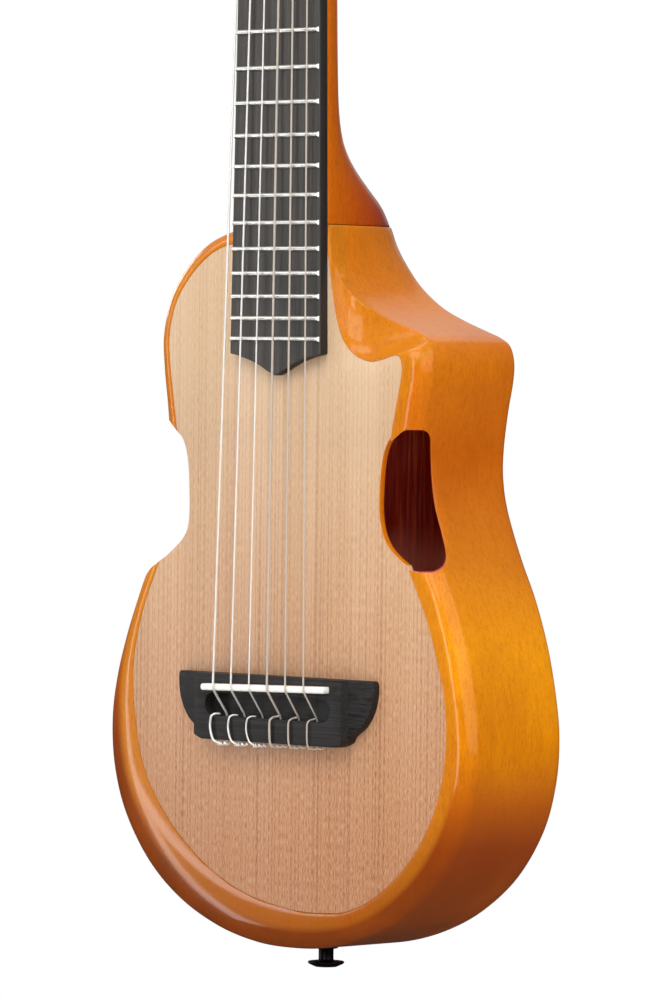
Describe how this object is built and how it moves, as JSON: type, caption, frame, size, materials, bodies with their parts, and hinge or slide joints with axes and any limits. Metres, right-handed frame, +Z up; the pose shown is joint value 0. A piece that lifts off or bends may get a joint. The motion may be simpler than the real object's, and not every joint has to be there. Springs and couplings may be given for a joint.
{
  "type": "guitalele",
  "caption": "Small classical-style guitar with a scooped cutaway, side sound ports, a tie bridge and a slotted headstock with worm-and-wheel tuners.",
  "frame": {"origin": "on the centre line at the front of the nut, in the plane of the soundboard's face, where a hanger's fork holds the instrument below its headstock", "axes": "+Z up along the neck towards the headstock, +X towards the treble side, +Y towards the back"},
  "size_m": [0.2302, 0.0758, 0.7],
  "materials": {
    "stained_mahogany": "amber stain under gloss lacquer",
    "cedar_top": "satin",
    "brace_spruce": "sanded, raw",
    "fretboard_black": "oiled",
    "ebony": "oiled",
    "bone": "polished",
    "fret_wire": "polished",
    "silvered_wire": "wound",
    "clear_nylon": "clear, glossy",
    "nickel": "nickel plate",
    "black_plastic": "glossy"
  },
  "bodies": {
    "instrument": {"body": "stained_mahogany", "soundboard": "cedar_top", "upper_brace": "brace_spruce", "lower_brace": "brace_spruce", "bridge_plate": "brace_spruce", "fan_brace_bass": "brace_spruce", "fan_brace_centre": "brace_spruce", "fan_brace_treble": "brace_spruce", "neck": "stained_mahogany", "fretboard": "fretboard_black", "fret_01": "fret_wire", "fret_02": "fret_wire", "fret_03": "fret_wire", "fret_04": "fret_wire", "fret_05": "fret_wire", "fret_06": "fret_wire", "fret_07": "fret_wire", "fret_08": "fret_wire", "fret_09": "fret_wire", "fret_10": "fret_wire", "fret_11": "fret_wire", "fret_12": "fret_wire", "fret_13": "fret_wire", "fret_14": "fret_wire", "fret_15": "fret_wire", "fret_16": "fret_wire", "fret_17": "fret_wire", "fret_18": "fret_wire", "nut": "bone", "bridge": "ebony", "saddle": "bone", "string_1": "clear_nylon", "string_2": "clear_nylon", "string_3": "clear_nylon", "string_4": "silvered_wire", "string_5": "silvered_wire", "string_6": "silvered_wire", "strap_button": "black_plastic", "strap_button_screw": "nickel", "tuner_plate_bass": "nickel", "tuner_plate_treble": "nickel"},
    "worm_1": {"worm_shaft_1": "nickel", "tuner_knob_1": "black_plastic"},
    "roller_1": {"string_roller_1": "nickel"},
    "worm_2": {"worm_shaft_2": "nickel", "tuner_knob_2": "black_plastic"},
    "roller_2": {"string_roller_2": "nickel"},
    "worm_3": {"worm_shaft_3": "nickel", "tuner_knob_3": "black_plastic"},
    "roller_3": {"string_roller_3": "nickel"},
    "worm_4": {"worm_shaft_4": "nickel", "tuner_knob_4": "black_plastic"},
    "roller_4": {"string_roller_4": "nickel"},
    "worm_5": {"worm_shaft_5": "nickel", "tuner_knob_5": "black_plastic"},
    "roller_5": {"string_roller_5": "nickel"},
    "worm_6": {"worm_shaft_6": "nickel", "tuner_knob_6": "black_plastic"},
    "roller_6": {"string_roller_6": "nickel"}
  },
  "joints": [
    {"name": "knob_turn_1", "type": "hinge", "parent": "instrument", "child": "worm_1", "pos_m": [0.0361, 0.01376, 0.02578], "axis": [0, 0.9744, -0.225], "continuous": true},
    {"name": "roller_turn_1", "type": "hinge", "parent": "instrument", "child": "roller_1", "pos_m": [0.016, 0.01563, 0.03387], "axis": [1, 0, 0], "continuous": true},
    {"name": "knob_turn_2", "type": "hinge", "parent": "instrument", "child": "worm_2", "pos_m": [0.0361, 0.02164, 0.05988], "axis": [0, 0.9744, -0.225], "continuous": true},
    {"name": "roller_turn_2", "type": "hinge", "parent": "instrument", "child": "roller_2", "pos_m": [0.016, 0.0235, 0.06797], "axis": [1, 0, 0], "continuous": true},
    {"name": "knob_turn_3", "type": "hinge", "parent": "instrument", "child": "worm_3", "pos_m": [0.0361, 0.02951, 0.09399], "axis": [0, 0.9744, -0.225], "continuous": true},
    {"name": "roller_turn_3", "type": "hinge", "parent": "instrument", "child": "roller_3", "pos_m": [0.016, 0.03138, 0.10207], "axis": [1, 0, 0], "continuous": true},
    {"name": "knob_turn_4", "type": "hinge", "parent": "instrument", "child": "worm_4", "pos_m": [-0.0361, 0.02951, 0.09399], "axis": [0, 0.9744, -0.225], "continuous": true},
    {"name": "roller_turn_4", "type": "hinge", "parent": "instrument", "child": "roller_4", "pos_m": [-0.016, 0.03138, 0.10207], "axis": [1, 0, 0], "continuous": true},
    {"name": "knob_turn_5", "type": "hinge", "parent": "instrument", "child": "worm_5", "pos_m": [-0.0361, 0.02164, 0.05988], "axis": [0, 0.9744, -0.225], "continuous": true},
    {"name": "roller_turn_5", "type": "hinge", "parent": "instrument", "child": "roller_5", "pos_m": [-0.016, 0.0235, 0.06797], "axis": [1, 0, 0], "continuous": true},
    {"name": "knob_turn_6", "type": "hinge", "parent": "instrument", "child": "worm_6", "pos_m": [-0.0361, 0.01376, 0.02578], "axis": [0, 0.9744, -0.225], "continuous": true},
    {"name": "roller_turn_6", "type": "hinge", "parent": "instrument", "child": "roller_6", "pos_m": [-0.016, 0.01563, 0.03387], "axis": [1, 0, 0], "continuous": true}
  ],
  "couplings": [
    {"joint": "roller_turn_1", "follows": "knob_turn_1", "ratio": 0.071429},
    {"joint": "roller_turn_2", "follows": "knob_turn_2", "ratio": 0.071429},
    {"joint": "roller_turn_3", "follows": "knob_turn_3", "ratio": 0.071429},
    {"joint": "roller_turn_4", "follows": "knob_turn_4", "ratio": 0.071429},
    {"joint": "roller_turn_5", "follows": "knob_turn_5", "ratio": 0.071429},
    {"joint": "roller_turn_6", "follows": "knob_turn_6", "ratio": 0.071429}
  ]
}
